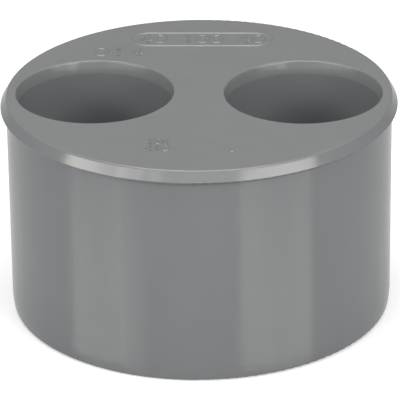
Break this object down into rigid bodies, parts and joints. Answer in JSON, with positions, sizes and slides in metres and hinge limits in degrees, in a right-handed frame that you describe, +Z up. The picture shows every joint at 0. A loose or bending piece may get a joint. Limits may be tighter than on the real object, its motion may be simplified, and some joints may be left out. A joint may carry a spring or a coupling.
{
  "type": "double reducing bushing",
  "caption": "Round pipe reducer plug: a hollow spigot under a rimmed top plate with two side-by-side sockets for smaller waste pipes.",
  "frame": {"origin": "centre of the spigot's open end, on the plane it stands on", "axes": "+Z up along the spigot, out of the sockets; +X from one socket to the other"},
  "size_m": [0.103, 0.103, 0.0584],
  "materials": {
    "grey_pvc": "injection moulded, satin to semi-gloss"
  },
  "bodies": {
    "root": {"reducing_bushing": "grey_pvc"}
  },
  "joints": []
}
